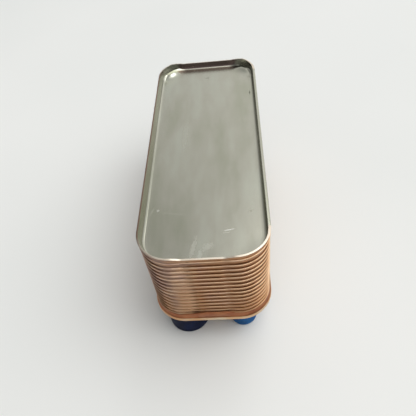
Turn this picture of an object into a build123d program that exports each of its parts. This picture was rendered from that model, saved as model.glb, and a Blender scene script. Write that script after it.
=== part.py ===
"""Brazed plate heat exchanger with two threaded and two solder connections, all four capped.

The exchanger lies on its caps with its back up.
The origin is on the floor, in the middle. +Z is up, +Y runs along the plates, and the threaded pair is at -X.
All sizes are in millimetres.
"""

import os
from math import atan, copysign, cos, degrees, pi, radians, sin

from build123d import *

# Pressed channel plates: shallow trays with a flared skirt, nested in each other and brazed with copper.
pack_width = 74.2  # across the tips of the tall skirts
pack_length = 193.0  # across the tips of the tall skirts
pack_corner_radius = 19.5  # in plan, at the tips of the tall skirts
channel_plate_count = 29
plate_pitch = 2.0
sheet_thickness = 0.35
braze_film = 0.05  # copper left between two nested skirts
tall_skirt = 5.5  # height of every odd plate, from its underside to its tip
corner_bends = 6  # a channel plate's corner is folded in flats that touch the arc and meet at these bends

# Back cover: the last, thicker tray, with a rim that dips in the middle of both short ends.
back_sheet_thickness = 1.0
back_skirt = 7.4
floor_bend_radius = 2.2  # inside, between floor and skirt
floor_bend_flats = 3
near_dip_depth = 1.1
near_dip_width = 24.0
near_dip_ramp = 5.0  # run of each sloping end of the dip
far_dip_depth = 2.0
far_dip_width = 38.0
far_dip_ramp = 10.0

# Front cover: a flat plate that stands out all round under the pack.
front_cover_thickness = 3.2
front_cover_lip = 1.0

# Ports, placed from the tips of the tall skirts at the nearest short end and the nearest long side
nipple_end_inset = 17.4
nipple_side_inset = 18.1
socket_end_inset = 16.2
socket_side_inset = 18.4
connection_length = 22.0  # from the front cover to the end of each connection

# Threaded water nipples, G 3/4 with a flat sealing face
nipple_thread_diameter = 26.44
nipple_bore_diameter = 19.0

# Solder sockets for 15 mm copper tube, which stops against the front cover
socket_outer_diameter = 16.7
socket_bore_diameter = 15.1
socket_port_diameter = 12.0  # hole in the front cover behind a socket

# Protective push-on caps, pushed home against the front cover
cap_clearance = 0.3  # round the connection
cap_wall = 0.6
cap_end_thickness = 1.0
cap_end_gap = 2.4  # between the end of the connection and the inside of the cap

skirt_slope = (sheet_thickness + braze_film) / plate_pitch  # sideways per upward, so that nested skirts stay parallel
skirt_lean = atan(skirt_slope)
short_skirt = tall_skirt - plate_pitch  # level with the tip of the plate below
connection_end = cap_end_thickness + cap_end_gap
front_cover_bottom = connection_end + connection_length
pack_bottom = front_cover_bottom + front_cover_thickness
back_cover_bottom = pack_bottom + channel_plate_count * plate_pitch
nipple_place = (nipple_side_inset - pack_width / 2, pack_length / 2 - nipple_end_inset)
socket_place = (pack_width / 2 - socket_side_inset, pack_length / 2 - socket_end_inset)


def skirt_reach(level, inset):
    """How far a skirt's flank stands outside the tall tips, at a level above its plate's underside."""
    return (level - tall_skirt) * skirt_slope - inset


def folded_outline(level, inset):
    """Outline of a channel plate's flank, its round corners folded in flats that touch the arc."""
    reach = skirt_reach(level, inset)
    radius = pack_corner_radius + reach
    centre_x = pack_width / 2 + reach - radius
    centre_y = pack_length / 2 + reach - radius
    turn = 90 / corner_bends
    bend = Vector(radius / cos(radians(turn / 2)), 0)
    points = []
    for number in range(4 * corner_bends):
        out = bend.rotate(Axis.Z, (number + 0.5) * turn)
        points.append((out.X + copysign(centre_x, out.X), out.Y + copysign(centre_y, out.Y)))
    return Plane.XY.offset(level) * Polygon(*points, align=None)


def folded_block(low, high, inset):
    """Solid between two levels of a channel plate's flank, drafted to the flare of the skirt."""
    block = extrude(folded_outline(low, inset), high - low)
    flank = [face for face in block.faces() if face not in block.faces().filter_by(Axis.Z)]
    return draft(flank, Plane.XY.offset(low), -degrees(skirt_lean))


def channel_plate(number):
    """One channel plate at its place in the pack, the first one on the front cover."""
    skirt_height = tall_skirt if number % 2 else short_skirt
    level = pack_bottom + (number - 1) * plate_pitch
    hollow = folded_block(sheet_thickness, skirt_height + sheet_thickness, sheet_thickness)
    return Pos(0, 0, level) * (folded_block(0, skirt_height, 0) - hollow)


def round_outline(level, inset):
    """Outline of the back cover's flank, with round corners."""
    reach = skirt_reach(level, inset)
    outline = RectangleRounded(pack_width + 2 * reach, pack_length + 2 * reach, pack_corner_radius + reach)
    return Plane.XY.offset(level) * outline


def floor_bend_outline(angle):
    """Outline of the back cover's inside where its bend has turned by an angle up from the floor."""
    level = back_sheet_thickness + floor_bend_radius * (1 - cos(angle))
    to_flank = floor_bend_radius * (1 / cos(skirt_lean) - sin(angle) - cos(angle) * skirt_slope)
    return round_outline(level, back_sheet_thickness + to_flank)


def back_cover_hollow():
    """Inside of the back cover: a bend in a few flats between floor and skirt, then the flare."""
    full_turn = pi / 2 - skirt_lean
    bend = [floor_bend_outline(full_turn * step / floor_bend_flats) for step in range(floor_bend_flats + 1)]
    above_rim = round_outline(back_skirt + back_sheet_thickness, back_sheet_thickness)
    return loft([*bend, above_rim], ruled=True)


def rim_dip(width, depth, ramp, y):
    """Cutter that lowers the rim of the back cover across the middle of one short end."""
    half_flat = width / 2
    half_open = half_flat + ramp
    profile = Polygon(
        (-half_open, back_skirt),
        (-half_flat, back_skirt - depth),
        (half_flat, back_skirt - depth),
        (half_open, back_skirt),
        align=None,
    )
    return Pos(0, y, 0) * extrude(Plane.XZ * profile, pack_corner_radius, both=True)


def back_cover():
    """Back cover plate, nested in the last channel plate, with both dips in its rim."""
    cover = loft([round_outline(0, 0), round_outline(back_skirt, 0)]) - back_cover_hollow()
    cover -= rim_dip(near_dip_width, near_dip_depth, near_dip_ramp, -pack_length / 2)
    cover -= rim_dip(far_dip_width, far_dip_depth, far_dip_ramp, pack_length / 2)
    return Pos(0, 0, back_cover_bottom) * cover


def at_both_ends(place):
    """A port's place at the near end and at the far end."""
    x, y = place
    return {"near": (x, -y), "far": (x, y)}


def front_cover():
    """Flat front cover plate with its four port holes."""
    outline = RectangleRounded(
        pack_width + 2 * front_cover_lip,
        pack_length + 2 * front_cover_lip,
        pack_corner_radius + front_cover_lip,
    )
    for place in at_both_ends(nipple_place).values():
        outline -= Pos(*place) * Circle(nipple_bore_diameter / 2)
    for place in at_both_ends(socket_place).values():
        outline -= Pos(*place) * Circle(socket_port_diameter / 2)
    return Pos(0, 0, front_cover_bottom) * extrude(outline, front_cover_thickness)


def turned(diameter, bottom, top):
    """Plain cylinder about the Z axis between two levels."""
    return Pos(0, 0, bottom) * extrude(Circle(diameter / 2), top - bottom)


def connection(outer_diameter, bore_diameter):
    """Round connection that stands on the underside of the front cover, brazed to it."""
    body = turned(outer_diameter, connection_end, front_cover_bottom)
    return body - turned(bore_diameter, connection_end, front_cover_bottom)


def cap(connection_diameter):
    """Moulded push-on cap: a cup round the connection, its lip against the front cover."""
    inner_diameter = connection_diameter + 2 * cap_clearance
    body = turned(inner_diameter + 2 * cap_wall, 0, front_cover_bottom)
    return body - turned(inner_diameter, cap_end_thickness, front_cover_bottom)


def placed_at_ports(name, piece, place):
    """Two copies of a piece, one at the near port and one at the far port of a row."""
    return {f"{name}_{end}": Pos(*spot) * piece for end, spot in at_both_ends(place).items()}


def all_parts():
    """Every sub-part by its node name."""
    nipple = connection(nipple_thread_diameter, nipple_bore_diameter)
    socket = connection(socket_outer_diameter, socket_bore_diameter)
    parts = {"front_cover_plate": front_cover(), "back_cover_plate": back_cover()}
    for number in range(1, channel_plate_count + 1):
        parts[f"channel_plate_{number:02d}"] = channel_plate(number)
    parts |= placed_at_ports("water_nipple", nipple, nipple_place)
    parts |= placed_at_ports("solder_socket", socket, socket_place)
    parts |= placed_at_ports("nipple_cap", cap(nipple_thread_diameter), nipple_place)
    parts |= placed_at_ports("socket_cap", cap(socket_outer_diameter), socket_place)
    return parts


os.makedirs("parts", exist_ok=True)
for node, shape in all_parts().items():
    export_step(shape, f"parts/{node}.step")
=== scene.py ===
# %% [markdown]
# # A brazed plate heat exchanger, lying on its capped connections
# The real thing is a stack of thin stainless trays, pressed one inside the other and joined by copper that
# melts and creeps between them in a vacuum furnace.
# A thick tray closes the stack at the back, a flat plate closes it at the front, and four pipe connections
# stand on that plate, each under a blue push-on cap.
# The CAD model gives every size here: this lesson only dresses it.

# %% The frame
import math

import bmesh
import bpy
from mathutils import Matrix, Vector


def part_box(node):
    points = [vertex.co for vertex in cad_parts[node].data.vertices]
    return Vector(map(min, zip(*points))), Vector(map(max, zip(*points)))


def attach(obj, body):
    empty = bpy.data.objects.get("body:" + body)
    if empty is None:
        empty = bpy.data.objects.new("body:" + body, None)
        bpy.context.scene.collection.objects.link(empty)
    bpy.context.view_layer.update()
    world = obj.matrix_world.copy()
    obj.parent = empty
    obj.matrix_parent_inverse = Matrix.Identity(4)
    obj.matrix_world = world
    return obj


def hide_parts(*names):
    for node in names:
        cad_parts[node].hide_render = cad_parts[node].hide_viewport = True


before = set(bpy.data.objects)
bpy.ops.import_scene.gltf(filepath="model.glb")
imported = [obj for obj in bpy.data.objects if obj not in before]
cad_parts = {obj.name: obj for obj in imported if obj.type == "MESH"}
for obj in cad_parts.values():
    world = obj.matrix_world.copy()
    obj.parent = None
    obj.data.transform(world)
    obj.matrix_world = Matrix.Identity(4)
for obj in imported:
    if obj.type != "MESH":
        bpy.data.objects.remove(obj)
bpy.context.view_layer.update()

MM = 0.001

# %% [markdown]
# ## Sizes read from the CAD nodes
# Two neighbouring channel plates tell how far a skirt flares for each millimetre that it rises.
# Everything that is pulled up or out later uses that one slope, so all the trays nest as the real ones do.

# %% Levels and slopes
tall_low, tall_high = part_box("channel_plate_01")
short_low, short_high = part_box("channel_plate_02")
back_low, back_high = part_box("back_cover_plate")
front_low, front_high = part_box("front_cover_plate")
plate_names = sorted(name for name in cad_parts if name.startswith("channel_plate"))

tall_skirt = tall_high.z - tall_low.z
short_skirt = short_high.z - short_low.z
plate_pitch = tall_skirt - short_skirt
flare = (tall_high.x - short_high.x) / plate_pitch
lean = math.atan(flare)
corner_radius = 19.5 * MM  # in plan, at the tips of the tall skirts
sheet = 0.35 * MM  # thickness of a channel plate
back_sheet = 1.0 * MM  # thickness of the back cover
print("plates", len(plate_names), "pitch", round(plate_pitch / MM, 2), "flare", round(flare, 3))

# %% [markdown]
# ## Small helpers for modelling by hand
# `choose` is the click of the mouse: it picks vertices, edges or faces by their place.
# `lay_sheet` lays down a plane and rounds its four corners, `press_in` insets its face and pushes it down,
# step by step, and `press_rim` moves a stretch of the rim up or down, in or out, with a slope at each side.
# A tray could also be pulled up from its floor by scaling its edge, but scaling turns a round corner into an
# ellipse, while an inset keeps every loop parallel to the last, as a pressed sheet does.
# The last helpers give a sheet its thickness, round and smooth what is finished, and copy it.

# %% Modelling helpers
def choose(kind, test):
    """Select, in edit mode, the vertices, edges or faces for which test is true."""
    bpy.ops.mesh.select_all(action="DESELECT")
    bpy.ops.mesh.select_mode(type=kind)
    mesh = bmesh.from_edit_mesh(bpy.context.edit_object.data)
    for element in {"VERT": mesh.verts, "EDGE": mesh.edges, "FACE": mesh.faces}[kind]:
        element.select_set(bool(test(element)))
    mesh.select_flush_mode()
    bmesh.update_edit_mesh(bpy.context.edit_object.data)


def long_edge(edge, axis, least, side):
    """True for an edge that runs further than least along an axis, on one side (-1 or 1) of it."""
    start, stop = (vertex.co for vertex in edge.verts)
    return abs(start[axis] - stop[axis]) > least and start[1 - axis] * side > 0


def lay_sheet(name, reach, z, corner_steps=16, end_cuts=31, side_cuts=63):
    """A flat face in edit mode, with round corners, that stands out by reach from the tall skirts' tips."""
    radius = corner_radius + reach
    bpy.ops.object.select_all(action="DESELECT")
    bpy.ops.mesh.primitive_plane_add(size=1, location=(0, 0, z))
    piece = bpy.context.object
    piece.name = name
    bpy.ops.transform.resize(value=(2 * (tall_high.x + reach), 2 * (tall_high.y + reach), 1))
    bpy.ops.object.transform_apply(location=True, rotation=True, scale=True)
    bpy.ops.object.mode_set(mode="EDIT")
    bpy.ops.mesh.select_mode(type="VERT")
    bpy.ops.mesh.select_all(action="SELECT")
    bpy.ops.mesh.bevel(offset=radius, segments=corner_steps, affect="VERTICES")
    for axis, cuts in ((0, end_cuts), (1, side_cuts)):
        for side in (-1, 1):
            # one edge at a time, so that the face stays whole
            choose("EDGE", lambda edge: long_edge(edge, axis, radius, side))
            bpy.ops.mesh.subdivide(number_cuts=cuts)
    choose("FACE", lambda face: True)
    return piece


def press_in(steps):
    """Inset the selected face and push it down, once per step; a step is (how far in, how far down)."""
    for inwards, down in steps:
        bpy.ops.mesh.inset(thickness=inwards, depth=-down, use_even_offset=True)


def skirt_steps(height, bend_radius, bend_segments, flank_segments):
    """Steps from a skirt's tip down its flank and round its bend to the floor."""
    turn = math.pi / 2 - lean
    angles = [turn * (bend_segments - step) / bend_segments for step in range(bend_segments + 1)]
    arc = [(bend_radius * math.sin(angle), bend_radius * (1 - math.cos(angle))) for angle in angles]
    flank = (height - arc[0][1]) / flank_segments
    steps = [(flank * flare, flank)] * flank_segments
    return steps + [(start[0] - stop[0], start[1] - stop[1]) for start, stop in zip(arc, arc[1:])]


def in_stretch(vertex, end, middle, reach, above):
    """True for a vertex of one short end, above a level and within reach of a middle along X."""
    return vertex.co.z > above and vertex.co.y * end > 0 and abs(vertex.co.x - middle) < reach


def press_rim(end, middle, half_flat, ramp, rise, above, outwards=0.0):
    """Move a stretch of the rim of one short end (-1 near, 1 far) along its flare, and outwards."""
    steps = 8
    for step in range(steps):
        reach = half_flat + ramp * (step + 0.5) / steps
        choose("VERT", lambda vertex: in_stretch(vertex, end, middle, reach, above))
        bpy.ops.transform.translate(value=(0, end * (flare * rise + outwards) / steps, rise / steps))


def apply_modifier(piece, kind, **settings):
    """Add a modifier with its settings and apply it."""
    bpy.ops.object.mode_set(mode="OBJECT")
    modifier = piece.modifiers.new(kind.title(), kind)
    for name, value in settings.items():
        setattr(modifier, name, value)
    bpy.context.view_layer.objects.active = piece
    bpy.ops.object.modifier_apply(modifier=modifier.name)


def thicken(piece, thickness):
    """Give a sheet its thickness, on the side that its faces look to."""
    apply_modifier(piece, "SOLIDIFY", thickness=thickness, offset=1, use_even_offset=True)


def round_edges(piece, width, segments):
    """Bevel the sharp edges of a piece."""
    apply_modifier(
        piece, "BEVEL", width=width, segments=segments, limit_method="ANGLE", angle_limit=math.radians(50)
    )


def face_outwards():
    """Turn all faces of the piece in edit mode outwards."""
    bpy.ops.mesh.select_all(action="SELECT")
    bpy.ops.mesh.normals_make_consistent(inside=False)


def smooth(piece, degrees=35):
    """Shade a finished piece smooth, but keep its real edges crisp."""
    bpy.ops.object.mode_set(mode="OBJECT")
    bpy.ops.object.select_all(action="DESELECT")
    piece.select_set(True)
    bpy.context.view_layer.objects.active = piece
    bpy.ops.object.shade_smooth_by_angle(angle=math.radians(degrees))


def copy_piece(piece, name, move):
    """A copy of a piece with its own mesh, moved as a mesh so that its object stays at the origin."""
    twin = piece.copy()
    twin.data = piece.data.copy()
    twin.name = name
    bpy.context.collection.objects.link(twin)
    twin.location = move
    bpy.ops.object.select_all(action="DESELECT")
    twin.select_set(True)
    bpy.context.view_layer.objects.active = twin
    bpy.ops.object.transform_apply(location=True, rotation=False, scale=False)
    return twin


bend = skirt_steps(tall_skirt, bend_radius=1.2 * MM, bend_segments=3, flank_segments=1)
print("a tall skirt, mm in and down:", [[round(value / MM, 2) for value in step] for step in bend])

# %% [markdown]
# ## Colour and nodes
# Colours are noted as sRGB hex, as a painter would pick them, and one function turns them to the linear
# values that the shaders want. One more small function adds a node with its settings and its links.
# A noise of scale 1 / size makes clouds of about that size. Where they are longer one way than the other, a
# Mapping node sets the size for each axis.
# Three recipes come back in most finishes here: long clouds, a colour that wanders in round clouds, and a
# skin of small ripples.

# %% Material helpers
def linear(hex_colour):
    """Linear RGBA of an sRGB hex colour."""
    shares = [int(hex_colour[start:start + 2], 16) / 255 for start in (1, 3, 5)]
    rgb = [share / 12.92 if share <= 0.04045 else ((share + 0.055) / 1.055) ** 2.4 for share in shares]
    return rgb + [1.0]


def new_material(name):
    """An empty material, its node tree, and its Principled shader already joined to the output."""
    material = bpy.data.materials.new(name)
    material.use_nodes = True
    return material, material.node_tree, material.node_tree.nodes["Principled BSDF"]


def new_metal(name, roughness):
    """A metal's material, its node tree and shader, and where each point of its piece lies."""
    material, tree, shader = new_material(name)
    shader.inputs["Metallic"].default_value = 1.0
    shader.inputs["Roughness"].default_value = roughness
    return material, tree, shader, add_node(tree, "ShaderNodeTexCoord").outputs["Object"]


def add_node(tree, kind, settings=None, inputs=None):
    """Add one node: settings are its own properties, inputs are values or sockets to link."""
    node = tree.nodes.new(kind)
    for name, value in (settings or {}).items():
        setattr(node, name, value)
    for name, value in (inputs or {}).items():
        if isinstance(value, bpy.types.NodeSocket):
            tree.links.new(value, node.inputs[name])
        else:
            node.inputs[name].default_value = value
    return node


def long_clouds(tree, where, sizes, detail):
    """A noise whose clouds have these sizes along X, Y and Z, in millimetres."""
    at = add_node(tree, "ShaderNodeMapping", inputs={"Vector": where, "Scale": [1 / size for size in sizes]})
    noise = {"Vector": at.outputs[0], "Scale": 1 / MM, "Detail": detail}
    return add_node(tree, "ShaderNodeTexNoise", inputs=noise).outputs["Fac"]


def set_stops(ramp, stops):
    """Give a colour ramp its stops: (position, sRGB hex)."""
    elements = ramp.color_ramp.elements
    while len(elements) < len(stops):
        elements.new(0.5)
    for element, (position, colour) in zip(elements, stops):
        element.position = position
        element.color = linear(colour)


def cloudy_colour(tree, where, size, stops, detail):
    """A colour that wanders between its stops in clouds of a size in metres."""
    noise = {"Vector": where, "Scale": 1 / size, "Detail": detail}
    clouds = add_node(tree, "ShaderNodeTexNoise", inputs=noise)
    tone = add_node(tree, "ShaderNodeValToRGB", inputs={"Fac": clouds.outputs["Fac"]})
    set_stops(tone, stops)
    return tone.outputs["Color"]


def rippled_skin(tree, shader, where, size, detail, strength, depth):
    """Give a surface small ripples: a noise of a size in metres, read as height."""
    noise = {"Vector": where, "Scale": 1 / size, "Detail": detail}
    ripples = add_node(tree, "ShaderNodeTexNoise", inputs=noise)
    bump = {"Height": ripples.outputs["Fac"], "Strength": strength, "Distance": depth}
    skin = add_node(tree, "ShaderNodeBump", inputs=bump)
    tree.links.new(skin.outputs["Normal"], shader.inputs["Normal"])


print("sRGB #808080 is linear", round(linear("#808080")[0], 3))

# %% [markdown]
# ## Cold-rolled stainless steel of the back cover
# The sheet leaves the rolling mill with a satin 2B finish: fine lines along the rolling direction, which here
# is the long way of the tray. The vacuum furnace dulls it and leaves a faint warm-green cast and pale stains.
# Long thin noise gives the lines, a broad noise gives the stains, and both steer roughness more than colour,
# because on metal the eye reads the change in gloss first.

# %% Back cover steel
back_floor = back_low.z + back_sheet
back_steel, tree, shader = new_material("cold_rolled_stainless_dulled")
where = add_node(tree, "ShaderNodeTexCoord").outputs["Object"]
# Rolling lines are a few hundredths of a millimetre apart; they are drawn 1.2 mm apart so that they show.
lines = long_clouds(tree, where, (1.2, 60, 4), detail=1)
stains = long_clouds(tree, where, (14, 45, 20), detail=5)
tone = add_node(tree, "ShaderNodeValToRGB", inputs={"Fac": stains})
set_stops(tone, [(0.3, "#ACAD9C"), (0.5, "#B6B5A7"), (0.7, "#BCBEB0")])
gloss = add_node(
    tree, "ShaderNodeMapRange",
    inputs={"Value": stains, "From Min": 0.3, "From Max": 0.7, "To Min": 0.21, "To Max": 0.27},
).outputs["Result"]
colour = tone.outputs["Color"]

# The die burnishes the bend between floor and wall, so the steel is smoother there and draws a bright line.
# Each change starts at one height over the floor and is complete at the next, with its own roughness.
height = add_node(tree, "ShaderNodeSeparateXYZ", inputs={"Vector": where}).outputs["Z"]
into_the_bend = (0.1 * MM, 0.7 * MM, 0.1)
onto_the_wall = (1.9 * MM, 3.2 * MM, 0.24)
for start, stop, roughness in (into_the_bend, onto_the_wall):
    share = add_node(
        tree, "ShaderNodeMapRange",
        inputs={"Value": height, "From Min": back_floor + start, "From Max": back_floor + stop},
    )
    gloss = add_node(
        tree, "ShaderNodeMix", {"data_type": "FLOAT"},
        {"Factor": share.outputs["Result"], "A": gloss, "B": roughness},
    ).outputs["Result"]
grain = add_node(tree, "ShaderNodeBump", inputs={"Height": lines, "Strength": 0.18, "Distance": 0.02 * MM})
tree.links.new(grain.outputs["Normal"], shader.inputs["Normal"])
shader.inputs["Metallic"].default_value = 1.0
print("material", back_steel.name)

# %% Handling marks on its floor
# Each mark is an oval of a real size in millimetres: middle, length, width, turn, colour and strength.
# Its outline is about where the distance from its middle, in half lengths and half widths, is 1, and a fine
# noise frays it. Scratches are bright, fingermarks pale, and specks of braze dark.
mark_depth = 1.5 * MM  # an oval reaches this far over and under the floor, so that the walls stay clean
mark_roughness = 0.45
marks = [
    ((14.4, -73.6), 5.0, 0.6, 10, "#F2F2EC", 0.85), ((13.0, -75.4), 4.0, 0.4, 4, "#DAD9CE", 0.5),
    ((-5.9, -85.0), 15.0, 2.6, 78, "#D2D2C6", 0.3), ((2.4, -84.5), 7.0, 4.4, 30, "#CFD0C5", 0.26),
    ((-2.0, -90.0), 6.0, 2.2, 85, "#D4D4CA", 0.26), ((-27.9, -56.5), 1.8, 1.5, 40, "#F0F0E6", 0.55),
    ((-19.0, -59.4), 17.0, 1.2, -10, "#C6C7B9", 0.18), ((-31.5, -57.0), 7.0, 1.0, 70, "#DCDDCF", 0.22),
    ((32.4, 56.0), 5.0, 0.9, 88, "#3E3B34", 0.75), ((0.5, 79.6), 3.4, 1.8, 10, "#77766A", 0.4),
    ((27.3, -60.5), 2.6, 1.4, 30, "#86836F", 0.35), ((-14.0, 20.0), 60.0, 3.4, 88, "#C4C6B8", 0.16),
]
fray = add_node(tree, "ShaderNodeTexNoise", inputs={"Vector": where, "Scale": 1 / (1.4 * MM), "Detail": 3})
for middle, length, width, turn, mark_colour, strength in marks:
    placed = add_node(
        tree, "ShaderNodeMapping", {"vector_type": "TEXTURE"},
        {
            "Vector": where, "Location": (middle[0] * MM, middle[1] * MM, back_floor),
            "Rotation": (0, 0, math.radians(turn)), "Scale": (length / 2 * MM, width / 2 * MM, mark_depth),
        },
    )
    distance = add_node(tree, "ShaderNodeVectorMath", {"operation": "LENGTH"}, {0: placed.outputs[0]})
    frayed = add_node(
        tree, "ShaderNodeMath", {"operation": "MULTIPLY_ADD"},
        {0: fray.outputs["Fac"], 1: 1.2, 2: distance.outputs["Value"]},
    )
    mask = add_node(
        tree, "ShaderNodeMapRange",
        inputs={
            "Value": frayed.outputs[0], "From Min": 1.0, "From Max": 1.9, "To Min": strength, "To Max": 0.0,
        },
    )
    colour = add_node(
        tree, "ShaderNodeMix", {"data_type": "RGBA"},
        {"Factor": mask.outputs["Result"], 6: colour, 7: linear(mark_colour)},
    ).outputs[2]
    gloss = add_node(
        tree, "ShaderNodeMix", {"data_type": "FLOAT"},
        {"Factor": mask.outputs["Result"], "A": gloss, "B": mark_roughness},
    ).outputs["Result"]
print("marks on the floor", len(marks))

# %% Dark purple brown on the far wall
# Between its two humps the far wall is painted a dark purple brown, down to the bend.
place = add_node(tree, "ShaderNodeSeparateXYZ", inputs={"Vector": where})
sideways = add_node(tree, "ShaderNodeMath", {"operation": "ABSOLUTE"}, {0: place.outputs["X"]})
# Each limit has a place up to which there is no tint, and one from which there is all of it.
along_y = (place.outputs["Y"], 93.9 * MM, 94.5 * MM)
off_middle = (sideways.outputs[0], 26 * MM, 22 * MM)
far_wall_tint = 1.0
for value, untinted_until, tinted_from in (along_y, off_middle):
    limit = add_node(tree, "ShaderNodeMapRange", inputs={"Value": value, "From Min": untinted_until, "From Max": tinted_from})
    far_wall_tint = add_node(
        tree, "ShaderNodeMath", {"operation": "MULTIPLY"}, {0: limit.outputs["Result"], 1: far_wall_tint}
    ).outputs[0]
colour = add_node(
    tree, "ShaderNodeMix", {"data_type": "RGBA"}, {"Factor": far_wall_tint, 6: colour, 7: linear("#7C6C67")}
).outputs[2]
tree.links.new(colour, shader.inputs["Base Color"])
tree.links.new(gloss, shader.inputs["Roughness"])

# %% [markdown]
# ## The sheared rim
# The press trims the rim of the back cover last and nicks it with the shear. Its top is painted a pale warm
# cream, a painted highlight for the bright line that the rounded rim catches. Along the two long sides a film
# of copper has crept over it.

# %% Sheared edge with a painted highlight
rim_highlight_and_copper, tree, shader, where = new_metal("stainless_rim_painted_highlight", roughness=0.42)
# painted highlight: the pale cream stands for the light that the rounded rim catches
rim_highlight_colour = cloudy_colour(tree, where, 7 * MM, [(0.35, "#D8CCBA"), (0.65, "#E4DCCC")], detail=3)
rippled_skin(tree, shader, where, 0.9 * MM, detail=2, strength=0.3, depth=0.05 * MM)
# the film of copper ends where the short ends begin, and is thicker at -X
place = add_node(tree, "ShaderNodeSeparateXYZ", inputs={"Vector": where})
ends = add_node(tree, "ShaderNodeMath", {"operation": "ABSOLUTE"}, {0: place.outputs["Y"]})
crept = add_node(
    tree, "ShaderNodeMapRange",
    inputs={"Value": ends.outputs[0], "From Min": 80 * MM, "From Max": 90 * MM, "To Min": 1.0, "To Max": 0.0},
)
by_side = add_node(
    tree, "ShaderNodeMapRange",
    inputs={
        "Value": place.outputs["X"], "From Min": -20 * MM, "From Max": 20 * MM, "To Min": 0.9, "To Max": 0.16,
    },
)
crept = add_node(
    tree, "ShaderNodeMath", {"operation": "MULTIPLY"},
    {0: crept.outputs["Result"], 1: by_side.outputs["Result"]},
)
edge_colour = add_node(
    tree, "ShaderNodeMix", {"data_type": "RGBA"},
    {"Factor": crept.outputs[0], 6: rim_highlight_colour, 7: linear("#8E7262")},
)
tree.links.new(edge_colour.outputs[2], shader.inputs["Base Color"])
print("material", rim_highlight_and_copper.name)

# %% [markdown]
# ## Stainless skirts flushed with copper
# In the furnace copper wets the skirts and runs over them as a film, thick in one place and thin in the next,
# so the colour wanders between grey steel and orange copper.
# The colour is mixed by a broad noise, and small bumps stand for the frozen ripples of the film.
# Three kinds of copper need their own colours: the film on the skirts, the beads on their tips, and the pool
# at the foot. Where copper ran down the stack in streams the beads turn browner, and the film is painted
# lighter: painted light that evens out the shade between the ridges.

# %% Copper that ran down, and painted light between the ridges
# Each stream has a middle and a half width along X and a top above the front cover, in mm, and a strength.
# on the skirts a stream is painted light tan, painted light in the shade between the ridges; on the beads it
# is a browner copper
streams_and_groove_light = [(0, 60, 26, 0.5), (-11, 6, 46, 0.85), (22, 7, 28, 0.85), (-33, 7, 34, 0.6)]
run_edge = 5  # mm over which a stream fades at each side
run_fade = 18  # mm over which it gathers strength below its top


def mix_in_streams_and_groove_light(tree, where, colour, stream_tone):
    """Turn a colour towards a stream tone at the foot of the stack, and higher up where copper ran down in
    streams.
    """
    place = add_node(tree, "ShaderNodeSeparateXYZ", inputs={"Vector": where})
    for middle, half_width, top, strength in streams_and_groove_light:
        offset = add_node(
            tree, "ShaderNodeMath", {"operation": "SUBTRACT"}, {0: place.outputs["X"], 1: middle * MM}
        )
        away = add_node(tree, "ShaderNodeMath", {"operation": "ABSOLUTE"}, {0: offset.outputs[0]})
        across = add_node(
            tree, "ShaderNodeMapRange",
            inputs={
                "Value": away.outputs[0], "From Min": half_width * MM,
                "From Max": (half_width + run_edge) * MM, "To Min": strength, "To Max": 0.0,
            },
        )
        down = add_node(
            tree, "ShaderNodeMapRange",
            inputs={
                "Value": place.outputs["Z"], "From Min": front_high.z + top * MM,
                "From Max": front_high.z + (top - run_fade) * MM,
            },
        )
        share = add_node(
            tree, "ShaderNodeMath", {"operation": "MULTIPLY"},
            {0: across.outputs["Result"], 1: down.outputs["Result"]},
        )
        colour = add_node(
            tree, "ShaderNodeMix", {"data_type": "RGBA"},
            {"Factor": share.outputs[0], 6: colour, 7: linear(stream_tone)},
        ).outputs[2]
    return colour


def film_colour(tree, where, clouds, stops, stream_tone):
    """Colour of a film of copper: cloudy, greyer at -X, more golden at +X, and turned to a stream tone where
    it ran down.
    """
    across = add_node(tree, "ShaderNodeSeparateXYZ", inputs={"Vector": where}).outputs["X"]
    side = add_node(
        tree, "ShaderNodeMath", {"operation": "MULTIPLY_ADD"},
        {0: across, 1: 0.25 / tall_high.x, 2: clouds},
    )
    tone = add_node(tree, "ShaderNodeValToRGB", inputs={"Fac": side.outputs[0]})
    set_stops(tone, stops)
    return mix_in_streams_and_groove_light(tree, where, tone.outputs["Color"], stream_tone)


print("streams of copper", len(streams_and_groove_light))

# %% Copper film on the skirts
skirt_steel, tree, shader, where = new_metal("stainless_flushed_with_copper", roughness=0.42)
clouds = long_clouds(tree, where, (16, 16, 2.5), detail=4)
skirt_stops = [(0.28, "#8E6E5E"), (0.5, "#B48A68"), (0.68, "#A27A5A"), (0.82, "#8C6444")]
# in the streams the skirts turn light tan: painted light that evens out the shade between the ridges
tree.links.new(film_colour(tree, where, clouds, skirt_stops, "#DFB48E"), shader.inputs["Base Color"])
rippled_skin(tree, shader, where, 1.2 * MM, detail=2, strength=0.5, depth=0.1 * MM)
print("material", skirt_steel.name)

# %% Copper of the beads
braze, tree, shader, where = new_metal("brazing_copper_frozen_bead", roughness=0.3)
noise = {"Vector": where, "Scale": 1 / (11 * MM), "Detail": 4}
clouds = add_node(tree, "ShaderNodeTexNoise", inputs=noise).outputs["Fac"]
braze_stops = [(0.26, "#C4A292"), (0.42, "#E4C4AA"), (0.6, "#EACBA8"), (0.8, "#DFBA94")]
tree.links.new(film_colour(tree, where, clouds, braze_stops, "#B28C68"), shader.inputs["Base Color"])
rippled_skin(tree, shader, where, 1.5 * MM, detail=2, strength=0.5, depth=0.12 * MM)
print("material", braze.name)

# %% Copper of the pool
pooled_copper, tree, shader, where = new_metal("brazing_copper_pooled", roughness=0.4)
pooled = cloudy_colour(tree, where, 8 * MM, [(0.35, "#9A6044"), (0.65, "#AC7350")], detail=4)
tree.links.new(pooled, shader.inputs["Base Color"])
rippled_skin(tree, shader, where, 2.0 * MM, detail=3, strength=0.5, depth=0.15 * MM)
print("material", pooled_copper.name)

# %% [markdown]
# ## Front cover steel
# The flat front cover lies lowest in the furnace, so most of the spare copper ends up on it: its top is
# copper brown and its edge is bright where it was sheared.

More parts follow.
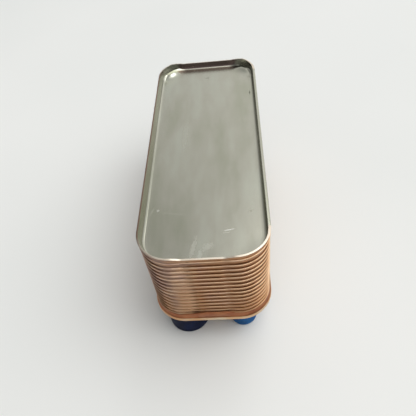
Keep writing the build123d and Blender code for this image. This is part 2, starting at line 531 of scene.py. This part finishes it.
# %% Front cover steel
front_steel, tree, shader, where = new_metal("stainless_with_copper_flush", roughness=0.38)
flush_stops = [(0.35, "#D39A68"), (0.5, "#DBB286"), (0.68, "#DCCBB0")]
tree.links.new(cloudy_colour(tree, where, 16 * MM, flush_stops, detail=4), shader.inputs["Base Color"])
rippled_skin(tree, shader, where, 0.8 * MM, detail=3, strength=0.3, depth=0.05 * MM)
print("material", front_steel.name)

# %% [markdown]
# ## Turned steel of the connections
# Nipples and sockets are turned on a lathe, which leaves fine rings round the axis. Rings round an axis are
# waves in height, so a noise that is squashed along Z gives them. Real rings are finer than 0.1 mm; these are
# 0.4 mm apart, so that they show.

# %% Connection steel
turned_steel, tree, shader, where = new_metal("turned_stainless", roughness=0.28)
rings = long_clouds(tree, where, (40, 40, 0.4), detail=2)
tone = add_node(tree, "ShaderNodeValToRGB", inputs={"Fac": rings})
set_stops(tone, [(0.3, "#B9B7B0"), (0.7, "#CCCAC4")])
cut = add_node(tree, "ShaderNodeBump", inputs={"Height": rings, "Strength": 0.3, "Distance": 0.03 * MM})
tree.links.new(tone.outputs["Color"], shader.inputs["Base Color"])
tree.links.new(cut.outputs["Normal"], shader.inputs["Normal"])
print("material", turned_steel.name)

# %% [markdown]
# ## Moulded polyethylene of the caps
# Protective caps are soft low-density polyethylene: a waxy sheen, an even colour with faint cloudiness, and
# light that enters a little way before it comes back. One recipe serves both blues.

# %% Cap plastics
def polyethylene(name, deep, pale, scatter):
    """Moulded polyethylene in one colour, from its deeper to its paler cloud."""
    material, tree, shader = new_material(name)
    where = add_node(tree, "ShaderNodeTexCoord").outputs["Object"]
    colour = cloudy_colour(tree, where, 6 * MM, [(0.35, deep), (0.65, pale)], detail=2)
    tree.links.new(colour, shader.inputs["Base Color"])
    rippled_skin(tree, shader, where, 0.5 * MM, detail=2, strength=0.15, depth=0.03 * MM)
    shader.inputs["IOR"].default_value = 1.51
    shader.inputs["Specular IOR Level"].default_value = 0.06
    shader.inputs["Roughness"].default_value = 0.48
    shader.inputs["Subsurface Weight"].default_value = 0.1
    shader.inputs["Subsurface Radius"].default_value = scatter
    shader.inputs["Subsurface Scale"].default_value = 1.0 * MM
    return material


# the navy of the nipple caps is partly their own colour and partly painted shade: it is darkened for the
# shadow that the exchanger casts on the near one
navy_plastic_and_shade = polyethylene("navy_polyethylene", "#040F2E", "#07193E", (0.2, 0.4, 1.0))
blue_plastic = polyethylene("blue_polyethylene", "#174F86", "#20609A", (0.2, 0.5, 1.0))
print("materials", navy_plastic_and_shade.name, blue_plastic.name)

# %% [markdown]
# ## A finished piece joins the CAD model
# Each piece gets its material and the body that it moves with. The CAD nodes that it stands for are hidden in
# the picture and stay for collisions.

# %% Finishing helper
def finish_piece(piece, body, slot, material, *replaced):
    """Give a finished piece its material and its body, and hide the CAD nodes it stands for; slot is not
    used.
    """
    piece.data.materials.clear()
    piece.data.materials.append(material)
    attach(piece, body)
    if replaced:
        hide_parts(*replaced)


# %% [markdown]
# ## The back cover
# On the real exchanger this is the last tray of the stack, pressed from 1 mm sheet. Its floor meets the
# skirt in an even bend, and its rim dips in the middle of both short ends.
# It could be a box with bevels, but a sheet that is laid at the rim and pressed down loop by loop keeps one
# even thickness, which Solidify then gives it, and its bend can be as smooth as the press makes it.

# %% Back cover
back_skirt = back_high.z - back_low.z
rim_foot = back_high.z - 2.6 * MM  # what lies above this level belongs to the rim
outer_bend = 2.8 * MM  # the inside bend of 1.8 mm and the sheet together
floor_reach = (back_skirt - tall_skirt) * flare - (back_skirt - outer_bend) * flare - outer_bend
back_cover = lay_sheet("back_cover", (back_skirt - tall_skirt) * flare, back_high.z)
press_in(skirt_steps(back_skirt, outer_bend, bend_segments=9, flank_segments=2))
dish_shares = (0.3, 0.285, 0.215, 0.14, 0.06)  # how much of the dish's rise each ring takes, outermost first
ring_width = 1.5 * MM
press_in([(ring_width, 0)] * len(dish_shares))  # flat rings, so that the floor's shading is flat too
press_rim(-1, middle=0, half_flat=12.0 * MM, ramp=5.0 * MM, rise=-1.1 * MM, above=rim_foot)
press_rim(1, middle=0, half_flat=19.0 * MM, ramp=10.0 * MM, rise=-2.0 * MM, above=rim_foot)
print("half width of the back cover's floor", round((tall_high.x + floor_reach) / MM, 1), "mm")

# %% Wider bends in its corners
# Deep drawing leaves the bend widest in the corners, so the floor rises there in a shallow dish, its outer
# rings most.
corner_middle = (tall_high.x - corner_radius, tall_high.y - corner_radius)
dish_height = {-1: 0.15 * MM, 1: 1.72 * MM}  # at the near and at the far corners
dish_angle = math.radians(44)  # how far it reaches to each side of the corner's diagonal
fades = 8


def in_corner(vertex, end, inner_radius, half_angle):
    """True for a floor vertex in a corner of one end, far enough out and near enough to the diagonal."""
    across, along = abs(vertex.co.x) - corner_middle[0], vertex.co.y * end - corner_middle[1]
    if vertex.co.z > back_low.z + dish_height[end] or across < 0 or along < 0:
        return False
    off_diagonal = abs(math.atan2(along, across) - math.pi / 4)
    return math.hypot(across, along) > inner_radius and off_diagonal < half_angle


floor_radius = corner_radius + floor_reach
for end in (-1, 1):
    for ring, share in enumerate(dish_shares):
        for fade in range(fades):
            # steps that follow a cosine, so that the rise has no crest
            reach = dish_angle * math.acos(math.sqrt((fade + 0.5) / fades)) / (math.pi / 2)
            inner = floor_radius - ring_width * (ring + 0.5)
            choose("VERT", lambda vertex: in_corner(vertex, end, inner, reach))
            bpy.ops.transform.translate(value=(0, 0, share * dish_height[end] / fades))
print("the floor rises in its far corners by", round(dish_height[1] / MM, 1), "mm")

# %% Thickness and rim
# On one long side the sheared rim is a little wider, because its inner edge stands inwards, and this fades
# out round the corners: each step moves what lies nearer to the side than its first value, by its second.
thicken(back_cover, back_sheet)
bpy.ops.object.mode_set(mode="EDIT")
inner_edge = back_high.z + 0.1 * MM  # only the inner edge of the leaning rim stands above this level
for from_side, inwards in ((1.5 * MM, 0.25 * MM), (2.9 * MM, 0.15 * MM), (4.9 * MM, 0.15 * MM)):
    choose("VERT", lambda vertex: vertex.co.x > back_high.x - from_side and vertex.co.z > inner_edge)
    bpy.ops.transform.translate(value=(-inwards, 0, 0))
round_edges(back_cover, 0.22 * MM, segments=3)
smooth(back_cover)
finish_piece(back_cover, "exchanger", "stainless_back_cover", back_steel, "back_cover_plate")
print("back cover faces", len(back_cover.data.polygons))

# %% [markdown]
# ## Three finishes on one sheet
# The tray is satin inside, copper ran over its outside, and its sheared rim carries a painted highlight.
# These are faces of one piece, so the piece gets three materials, and faces get theirs as with the Assign
# button in edit mode.

# %% Copper outside and a sheared rim with a painted highlight
back_cover.data.materials.append(skirt_steel)
back_cover.data.materials.append(rim_highlight_and_copper)
largest_rim_face = (0.85 * MM) * (4 * MM)  # the rim is narrow, and cut into short faces


def paint(piece, index, test):
    """Give the faces for which test is true the material at index, as the Assign button does."""
    bpy.context.view_layer.objects.active = piece
    bpy.ops.object.mode_set(mode="EDIT")
    choose("FACE", test)
    piece.active_material_index = index
    bpy.ops.object.material_slot_assign()
    bpy.ops.object.mode_set(mode="OBJECT")


def on_sheared_rim(face):
    """True for the narrow faces of the rim that look up."""
    narrow = face.calc_area() < largest_rim_face
    return narrow and face.normal.z > 0.3 and face.calc_center_median().z > rim_foot


paint(back_cover, 1, lambda face: face.normal.z < -0.1)  # the outside leans over, so it looks down a little
# the narrow rim faces get the painted highlight
paint(back_cover, 2, on_sheared_rim)
print("faces per finish", [sum(face.material_index == index for face in back_cover.data.polygons)
                           for index in range(len(back_cover.data.materials))])

# %% [markdown]
# ## The channel plates
# Twenty-nine thin trays, every second one with a tall skirt and the others with a short one, so that their
# tips end level in pairs. Those pairs are the ridges on the flank.
# One tall and one short plate are modelled, then copied up the stack. A third one is made for the last plate,
# which lies against the back cover and keeps its full height. On the real part no two are quite alike, so
# each copy is displaced a little by a noise that is read at its own height.

# %% Steps and ripple of the tips
# Each change is given in mm: its middle and half width along X, its slope at each side, how far it moves the
# tips up, and how far outwards. There is a step down on the left and one up on the right, each with a dent
# beside it.
tip_changes = [
    (-19.0, 7.0, 4.0, -0.95, -0.34), (21.0, 7.5, 3.0, 0.45, 0.09),
    (-10.5, 0.8, 2.2, 0.0, -0.3), (12.0, 0.8, 2.0, 0.0, -0.25),
]


def step_tips(above):
    """Step and dent the tips above a level, at both short ends."""
    for end in (-1, 1):
        for middle, half_flat, ramp, rise, outwards in tip_changes:
            press_rim(end, middle * MM, half_flat * MM, ramp * MM, rise * MM, above, outwards * MM)


ripple_noise = bpy.data.textures.new("press_ripple", "CLOUDS")
ripple_noise.noise_scale = 14 * MM
ripple_noise.noise_depth = 2
ripple_height = 0.25 * MM


def press_ripple(piece, height):
    """Displace a piece up and down by a noise; height is from the ripple's lowest to its highest point."""
    apply_modifier(piece, "DISPLACE", texture=ripple_noise, direction="Z", strength=height, mid_level=0.5)


print("changes along the tips", len(tip_changes), "ripple", ripple_height / MM, "mm")

# %% Channel plates
def channel_tray(name, skirt):
    """A thin tray whose underside lies at the first plate's level, with a skirt of the given height."""
    piece = lay_sheet(name, (skirt - tall_skirt) * flare, tall_low.z + skirt)
    press_in(skirt_steps(skirt, bend_radius=1.2 * MM, bend_segments=3, flank_segments=1))
    step_tips(tall_low.z + 0.6 * skirt)
    thicken(piece, sheet)
    smooth(piece)
    return piece


tips_down = 1.15 * MM  # how far the tips end below the CAD tips, so that the ridges stand clear of the rim
tall_plate = channel_tray("tall_plate_master", tall_skirt - tips_down)
short_plate = channel_tray("short_plate_master", short_skirt - tips_down)
last_plate = channel_tray("last_plate_master", tall_skirt)
for name in plate_names:
    number = int(name.split("_")[-1])
    master = tall_plate if number % 2 else short_plate
    if name == plate_names[-1]:
        master = last_plate
    plate = copy_piece(master, f"pressed_{name}", (0, 0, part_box(name)[0].z - tall_low.z))
    press_ripple(plate, ripple_height)
    finish_piece(plate, "exchanger", "copper_brazed_skirt", skirt_steel, name)
for master in (tall_plate, short_plate, last_plate):
    bpy.data.objects.remove(master)
print("plates", len(plate_names), "in pairs", round(2 * plate_pitch / MM, 1), "mm apart")

# %% [markdown]
# ## The copper on the tips
# Where two tips end level, the copper between them freezes as a rounded bead over both edges.
# A bead is a narrow inset ring that is extruded to a box section and rounded by a bevel, which keeps its
# width even round the corners. Where the tips step down, its inner edge is pulled up in a fillet, because
# copper fills the slit that opens there. It is copied to every pair of tips and rippled like the plates.

# %% Copper beads
bead_proud = 0.16 * MM  # outside the tall tip
bead_width = 1.0 * MM
bead_height = 0.7 * MM
bead_above = 0.12 * MM  # over the tips
fillet_middle = -17 * MM  # along X
fillet_half_flat = 5 * MM
fillet_ramp = 8 * MM
fillet_height = 0.4 * MM
fillet_steps = 8


def at_inner_edge(vertex, level, radius):
    """True for a vertex above a level that lies within the outline whose corners have this radius."""
    across = max(abs(vertex.co.x) - corner_middle[0], 0)
    along = max(abs(vertex.co.y) - corner_middle[1], 0)
    return vertex.co.z > level and math.hypot(across, along) < radius


def pull_up_fillet(tip_level, radius):
    """Raise the inner edge of a bead, at both short ends, where the tips step down."""
    for step in range(fillet_steps):
        reach = fillet_half_flat + fillet_ramp * (step + 0.5) / fillet_steps
        choose("VERT", lambda vertex: (
            at_inner_edge(vertex, tip_level, radius) and abs(vertex.co.x - fillet_middle) < reach
        ))
        bpy.ops.transform.translate(value=(0, 0, fillet_height / fillet_steps))


def copper_bead(name, tip_level):
    """A ring of copper over one pair of tips."""
    reach = bead_proud + (tip_level - tall_high.z) * flare
    piece = lay_sheet(name, reach, tip_level + bead_above - bead_height)
    bpy.ops.mesh.inset(thickness=bead_width, use_even_offset=True)
    bpy.ops.mesh.delete(type="FACE")
    bpy.ops.mesh.select_all(action="SELECT")
    bpy.ops.mesh.extrude_region_move(TRANSFORM_OT_translate={"value": (0, 0, bead_height)})
    pull_up_fillet(tip_level, corner_radius + reach - bead_width / 2)
    step_tips(tip_level - 2 * MM)  # low enough to hold the whole bead, also while it steps down
    face_outwards()
    round_edges(piece, 0.26 * MM, segments=3)
    smooth(piece, degrees=60)
    return piece


bead_master = copper_bead("bead_master", tall_high.z - tips_down)
last_bead_master = copper_bead("last_bead_master", tall_high.z)
pairs = (len(plate_names) + 1) // 2
for pair in range(pairs):
    level = 2 * pair * plate_pitch
    master = last_bead_master if pair == pairs - 1 else bead_master
    bead = copy_piece(master, f"copper_bead_{pair + 1:02d}", (0, 0, level))
    press_ripple(bead, ripple_height)
    finish_piece(bead, "exchanger", "copper_brazed_skirt", braze)
for master in (bead_master, last_bead_master):
    bpy.data.objects.remove(master)
print("beads", pairs)

# %% [markdown]
# ## The pool of copper at the foot
# Spare copper runs down the stack and freezes where the first skirt meets the front cover, as a hollow fillet
# of a redder brown. A flat extrusion is inset upwards along the fillet's curve, then down again inside the
# skirt where nobody looks, which closes it.

# %% Copper pool
pool_foot = 0.8 * MM  # how far it spreads past the tips of the skirts
pool_edge = 0.2 * MM  # its thickness there, of which half is sunk into the front cover
pool_fillet = [(0.4, 0.3), (0.35, 0.6), (0.2, 0.8), (0.1, 0.8), (0.12, 0.3), (0.4, 0.1)]  # mm in and up
pool_inside = (0.2 * MM, 2.0 * MM)  # in and down, behind the skirt
copper_pool = lay_sheet("copper_pool", pool_foot, front_high.z - pool_edge / 2)
bpy.ops.mesh.extrude_region_move(TRANSFORM_OT_translate={"value": (0, 0, pool_edge)})
press_in([(inwards * MM, -up * MM) for inwards, up in pool_fillet] + [pool_inside])
for end in (-1, 1):  # it stands highest in the middle of the short ends, where it drowns the first ridge
    press_rim(
        end, middle=1.0 * MM, half_flat=6.0 * MM, ramp=16.0 * MM, rise=3.2 * MM,
        above=front_high.z + 0.7 * MM, outwards=0.35 * MM,
    )
smooth(copper_pool, degrees=60)
press_ripple(copper_pool, 0.3 * MM)
finish_piece(copper_pool, "exchanger", "copper_brazed_skirt", pooled_copper)
pool_top = max(vertex.co.z for vertex in copper_pool.data.vertices)
print("pool top", round(pool_top / MM, 1), "mm above the table")

# %% [markdown]
# ## The front cover
# A thick flat plate that carries the four connections. A plane with round corners is extruded to its
# thickness, its sheared edge is rounded by a bevel, and the four ports are cut by Boolean, because a hole
# through a plate is a cut on the real one too.

# %% Front cover
front_cover = lay_sheet("front_cover", front_high.x - tall_high.x, front_low.z, end_cuts=1, side_cuts=1)
bpy.ops.mesh.select_all(action="SELECT")
bpy.ops.mesh.extrude_region_move(TRANSFORM_OT_translate={"value": (0, 0, front_high.z - front_low.z)})
face_outwards()
round_edges(front_cover, 0.6 * MM, segments=4)


def middle_of(node):
    """Middle of a CAD node's box."""
    low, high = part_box(node)
    return (low + high) / 2


circle_points = 96
nipple_bore = 9.5 * MM  # radius
drill_length = 20 * MM  # more than the cover is thick
port_radius = {"water_nipple": nipple_bore, "solder_socket": 6.0 * MM}
for kind, radius in port_radius.items():
    for end in ("near", "far"):
        middle = middle_of(f"{kind}_{end}")
        bpy.ops.object.select_all(action="DESELECT")
        place = (middle.x, middle.y, front_low.z)
        bpy.ops.mesh.primitive_cylinder_add(
            vertices=circle_points, radius=radius, depth=drill_length, location=place
        )
        drill = bpy.context.object
        apply_modifier(front_cover, "BOOLEAN", object=drill, operation="DIFFERENCE", solver="EXACT")
        bpy.data.objects.remove(drill)
smooth(front_cover)
finish_piece(front_cover, "exchanger", "stainless_front_cover", front_steel, "front_cover_plate")
print("front cover faces", len(front_cover.data.polygons))

# %% [markdown]
# ## Connections and caps
# All of these are round, so each is a circle whose edge is pulled along a half section, as a turner reads a
# drawing: radius by radius, level by level. Each is made once, at the near end, and copied to the far end.
# A cap could be left as a plain cup, but a moulded one has a soft edge at its end, a slight draft, and a
# thick lip round its mouth.

# %% Round pieces
def turn_piece(name, middle, section, closed_end):
    """Pull a circle along a half section of (radius, level) points in metres."""
    bpy.ops.object.select_all(action="DESELECT")
    radius, level = section[0]
    fill = "NGON" if closed_end else "NOTHING"
    bpy.ops.mesh.primitive_circle_add(
        vertices=circle_points, radius=radius, fill_type=fill, location=(0, 0, level)
    )
    piece = bpy.context.object
    piece.name = name
    bpy.ops.object.transform_apply(location=True, rotation=False, scale=False)
    bpy.ops.object.mode_set(mode="EDIT")
    choose("EDGE", lambda edge: edge.is_boundary or not edge.link_faces)
    for new_radius, new_level in section[1:]:
        bpy.ops.mesh.extrude_edges_move(TRANSFORM_OT_translate={"value": (0, 0, new_level - level)})
        scale = new_radius / radius
        bpy.ops.transform.resize(value=(scale, scale, 1), center_override=(0, 0, 0))
        radius, level = new_radius, new_level
    if closed_end:
        bpy.ops.mesh.edge_face_add()
    else:
        choose("EDGE", lambda edge: edge.is_boundary)
        bpy.ops.mesh.bridge_edge_loops()
    face_outwards()
    bpy.ops.object.mode_set(mode="OBJECT")
    piece.location = (middle.x, middle.y, 0)
    bpy.ops.object.transform_apply(location=True, rotation=False, scale=False)
    smooth(piece, degrees=40)
    return piece


def place_copies(piece, kind, body, slot, material):
    """Finish the near piece and its copy at the far end; with no body given, each rides on its node's own."""
    span = middle_of(f"{kind}_far") - middle_of(f"{kind}_near")
    for end in ("near", "far"):
        node = f"{kind}_{end}"
        one = piece if end == "near" else copy_piece(piece, piece.name.replace("near", "far"), span)
        finish_piece(one, body or node, slot, material, node)


# %% Caps
cap_wall = 0.6 * MM
cap_end = 1.0 * MM  # thickness of the closed end
cap_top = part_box("nipple_cap_near")[1].z - 0.15 * MM  # just clear of the front cover


def cap_section(outer, lip):
    """Half section of a cap: a soft edge at its end, a slight draft, and a thick lip round its mouth."""
    inner = outer - cap_wall
    end = [
        (outer - 6 * lip, 0.0), (outer - 2.5 * lip, 0.05 * MM), (outer - lip, 0.4 * MM),
        (outer - 0.4 * lip, 1.0 * MM),
    ]
    side = [(outer - 0.2 * lip, 2.2 * MM), (outer, cap_top - 3.0 * MM), (outer, cap_top - 2.2 * MM)]
    mouth = [
        (outer + 0.7 * lip, cap_top - 2.0 * MM), (outer + 0.9 * lip, cap_top - 1.2 * MM),
        (outer + 0.7 * lip, cap_top - 0.2 * MM), (outer, cap_top), (inner + 0.2 * MM, cap_top),
    ]
    inside = [(inner, cap_top - 0.3 * MM), (inner, 1.4 * MM), (inner - 0.4 * MM, cap_end)]
    return end + side + mouth + inside


for kind, lip, slot, material in (
    ("nipple_cap", 0.5 * MM, "navy_blue_plastic", navy_plastic_and_shade),
    ("socket_cap", 0.42 * MM, "blue_plastic", blue_plastic),
):
    low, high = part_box(f"{kind}_near")
    section = cap_section((high.x - low.x) / 2, lip)
    piece = turn_piece(f"pushed_{kind}_near", middle_of(f"{kind}_near"), section, closed_end=True)
    place_copies(piece, kind, None, slot, material)
print("caps made, lips at", round(cap_top / MM, 1), "mm")

# %% Solder sockets
socket_low, socket_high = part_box("solder_socket_near")
socket_outer = (socket_high.x - socket_low.x) / 2
socket_bore = 7.55 * MM  # radius
chamfer = 0.3 * MM  # at the open end, inside and outside
braze_foot = 0.6 * MM  # how far the copper at the foot spreads over the front cover
section = [
    (socket_bore + chamfer, socket_low.z), (socket_outer - chamfer, socket_low.z),
    (socket_outer, socket_low.z + chamfer), (socket_outer, socket_high.z - 0.5 * MM),
    (socket_outer + braze_foot, socket_high.z), (socket_bore, socket_high.z),
    (socket_bore, socket_low.z + chamfer),
]
socket = turn_piece("turned_solder_socket_near", middle_of("solder_socket_near"), section, closed_end=False)
place_copies(socket, "solder_socket", "exchanger", "connection_steel", turned_steel)
print("solder sockets made, outside radius", round(socket_outer / MM, 2), "mm")

# %% Body of a nipple
nipple_low, nipple_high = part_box("water_nipple_near")
crest = (nipple_high.x - nipple_low.x) / 2
root = 12.06 * MM
thread_top = nipple_high.z - 4.0 * MM  # above it the body widens to its full diameter
section = [
    (nipple_bore + chamfer, nipple_low.z), (root - 0.5 * MM, nipple_low.z), (root, nipple_low.z + 0.8 * MM),
    (root, thread_top), (crest, nipple_high.z - 3.0 * MM), (crest, nipple_high.z - 0.4 * MM),
    (crest + braze_foot, nipple_high.z), (nipple_bore, nipple_high.z), (nipple_bore, nipple_low.z + chamfer),
]
nipple = turn_piece("turned_water_nipple_near", middle_of("water_nipple_near"), section, closed_end=False)
print("body of the nipple, inside the thread", round(2 * root / MM, 2), "mm")

# %% [markdown]
# ## The thread
# A pipe thread of this size is one V wound round the body, 14 turns to the inch. A stack of rings would look
# alike from afar, but would not climb. A narrow plane stands for the section of the V, its outer edge is
# pinched, and the Screw modifier winds it up the body.

# %% Threaded nipples
thread_pitch = 1.814 * MM
thread_sunk = 0.2 * MM  # so far its foot reaches into the body
foot_share = 0.92  # width of its foot, in pitches
crest_share = 0.14  # width of its crest, in widths of its foot
turn_steps = 48
first_turn = nipple_low.z + 1.2 * thread_pitch
turns = int((thread_top - nipple_low.z) / thread_pitch - 1)

bpy.ops.object.select_all(action="DESELECT")
bpy.ops.mesh.primitive_plane_add(size=1, rotation=(math.pi / 2, 0, 0))
thread = bpy.context.object
bpy.ops.transform.resize(value=(crest - root + thread_sunk, 1, foot_share * thread_pitch))
bpy.ops.object.transform_apply(location=True, rotation=True, scale=True)
bpy.ops.object.mode_set(mode="EDIT")
choose("VERT", lambda vertex: vertex.co.x > 0)
bpy.ops.transform.resize(value=(1, 1, crest_share), center_override=(0, 0, 0))
bpy.ops.mesh.select_all(action="SELECT")
bpy.ops.transform.translate(value=((crest + root - thread_sunk) / 2, 0, first_turn))
bpy.ops.mesh.delete(type="ONLY_FACE")
apply_modifier(
    thread, "SCREW", axis="Z", angle=2 * math.pi * turns, screw_offset=thread_pitch * turns,
    steps=turn_steps * turns, render_steps=turn_steps * turns,
)
bpy.ops.object.mode_set(mode="EDIT")
half_way = first_turn + thread_pitch * turns / 2
for lowest in (True, False):  # close the first and the last section
    choose("EDGE", lambda edge: edge.is_boundary and (edge.verts[0].co.z < half_way) == lowest)
    bpy.ops.mesh.edge_face_add()
face_outwards()
bpy.ops.object.mode_set(mode="OBJECT")
middle = middle_of("water_nipple_near")
thread.location = (middle.x, middle.y, 0)
bpy.ops.object.transform_apply(location=True, rotation=False, scale=False)
nipple.select_set(True)
bpy.context.view_layer.objects.active = nipple
bpy.ops.object.join()
smooth(nipple, degrees=40)
place_copies(nipple, "water_nipple", "exchanger", "connection_steel", turned_steel)
print("nipples made, thread turns", turns)

# %% [markdown]
# ## The table
# A pale matt table top, a little mottled so that it isn't one flat colour.

# %% Table
bpy.ops.object.select_all(action="DESELECT")
bpy.ops.mesh.primitive_plane_add(size=40, location=(0, 0, 0))
table_top = bpy.context.object
table_top.name = "table_top"
paper, tree, shader = new_material("matt_white_table")
where = add_node(tree, "ShaderNodeTexCoord").outputs["Object"]
mottled = cloudy_colour(tree, where, 1 / 3, [(0.3, "#E8EAE7"), (0.7, "#EEEFEC")], detail=2)
tree.links.new(mottled, shader.inputs["Base Color"])
shader.inputs["Roughness"].default_value = 0.6
table_top.data.materials.append(paper)
print("material", paper.name)

# %% [markdown]
# ## The room and its light
# Steel and copper show what they mirror, so the light is a room: dim all round, brighter along the horizon,
# with broad soft boxes overhead and behind on the right. Lamps would give the metal hard spots instead.
# A soft box is a power of the cosine between a direction and the box's own: a low power makes it broad.

# %% Soft boxes
world = bpy.data.worlds.new("soft_studio")
bpy.context.scene.world = world
world.use_nodes = True
tree = world.node_tree
direction = add_node(tree, "ShaderNodeTexCoord").outputs["Generated"]
base_light = 0.04
horizon_light = 0.25
broad, narrow = 10, 120  # powers of the cosine
soft_boxes = [  # height above the horizon and turn from +X, in degrees, then strength and power
    (90, 0, 0.16, broad), (65, 0, 2.56, broad), (65, 300, 1.12, broad), (40, 0, 1.05, broad),
    (40, 90, 0.52, broad), (40, 135, 0.25, broad), (40, 270, 0.06, broad), (15, 22, 0.64, broad),
    (15, 67, 0.97, broad), (15, 112, 0.22, broad), (15, 247, 0.39, broad), (57, 69, 3.2, narrow),
]
upwards = add_node(tree, "ShaderNodeSeparateXYZ", inputs={"Vector": direction}).outputs["Z"]
level = add_node(tree, "ShaderNodeMath", {"operation": "ABSOLUTE"}, {0: upwards})
near_horizon = add_node(tree, "ShaderNodeMath", {"operation": "SUBTRACT"}, {0: 1.0, 1: level.outputs[0]})
band = add_node(tree, "ShaderNodeMath", {"operation": "POWER"}, {0: near_horizon.outputs[0], 1: 10.0})
glow = add_node(
    tree, "ShaderNodeMath", {"operation": "MULTIPLY_ADD"},
    {0: band.outputs[0], 1: horizon_light, 2: base_light},
).outputs[0]
for height, turn, strength, power in soft_boxes:
    up, round_z = math.radians(height), math.radians(turn)
    axis = (math.cos(up) * math.cos(round_z), math.cos(up) * math.sin(round_z), math.sin(up))
    towards = add_node(tree, "ShaderNodeVectorMath", {"operation": "DOT_PRODUCT"}, {0: direction, 1: axis})
    front = add_node(tree, "ShaderNodeMath", {"operation": "MAXIMUM"}, {0: towards.outputs["Value"], 1: 0.0})
    spread = add_node(tree, "ShaderNodeMath", {"operation": "POWER"}, {0: front.outputs[0], 1: power})
    glow = add_node(
        tree, "ShaderNodeMath", {"operation": "MULTIPLY_ADD"}, {0: spread.outputs[0], 1: strength, 2: glow}
    ).outputs[0]
tree.links.new(glow, tree.nodes["Background"].inputs["Strength"])
tree.nodes["Background"].inputs["Color"].default_value = linear("#FFFFFF")
print("soft boxes", len(soft_boxes))

# %% [markdown]
# ## The camera
# It looks down on one short end from about 49 degrees above, near enough for the far end to look narrower.

# %% Camera
camera_data = bpy.data.cameras.new("camera")
camera_data.lens = 38.36
camera_data.sensor_width = 36.0
camera = bpy.data.objects.new("camera", camera_data)
bpy.context.collection.objects.link(camera)
camera.location = (23.7 * MM, -227.8 * MM, 285.5 * MM)
camera.rotation_euler = [math.radians(angle) for angle in (40.775, 5.723, 0.595)]
bpy.context.scene.camera = camera
bpy.context.scene.view_settings.view_transform = "Standard"
print("camera at", [round(value / MM, 1) for value in camera.location], "mm")
